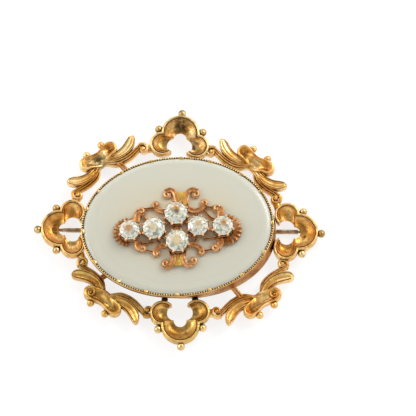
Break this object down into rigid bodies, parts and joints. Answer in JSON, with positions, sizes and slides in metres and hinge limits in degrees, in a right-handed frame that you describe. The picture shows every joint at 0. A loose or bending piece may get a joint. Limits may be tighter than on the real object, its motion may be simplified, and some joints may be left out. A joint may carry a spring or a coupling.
{
  "type": "agate brooch",
  "caption": "Oval brooch: a domed agate plaque in a gold setting, a rose gold ornament with cut crystals on it, a pierced scroll frame with trefoils and a hinged pin",
  "frame": {"origin": "middle of the brooch's outline, on the surface that its back rests on", "axes": "+X along the brooch's length, from the pin's catch to its hinge; +Y towards the upper trefoil; +Z out of the front"},
  "size_m": [0.0693, 0.0605, 0.0106],
  "materials": {
    "yellow_gold": "worn satin",
    "rose_gold": "worn satin",
    "pin_gold": "drawn satin",
    "agate": "polished",
    "crystal": "polished facets"
  },
  "bodies": {
    "brooch": {"gold_mount": "yellow_gold", "agate_plaque": "agate", "rose_ornament": "rose_gold", "crystal_far_left": "crystal", "crystal_left": "crystal", "crystal_top": "crystal", "crystal_bottom": "crystal", "crystal_right": "crystal", "crystal_far_right": "crystal", "hinge_rivet": "pin_gold"},
    "pin": {"pin_stem": "pin_gold"}
  },
  "joints": [
    {"name": "pin_hinge", "type": "hinge", "parent": "brooch", "child": "pin", "pos_m": [0.0303, 0, 0.00115], "axis": [0, -1, 0], "range_deg": [0, 105]}
  ]
}
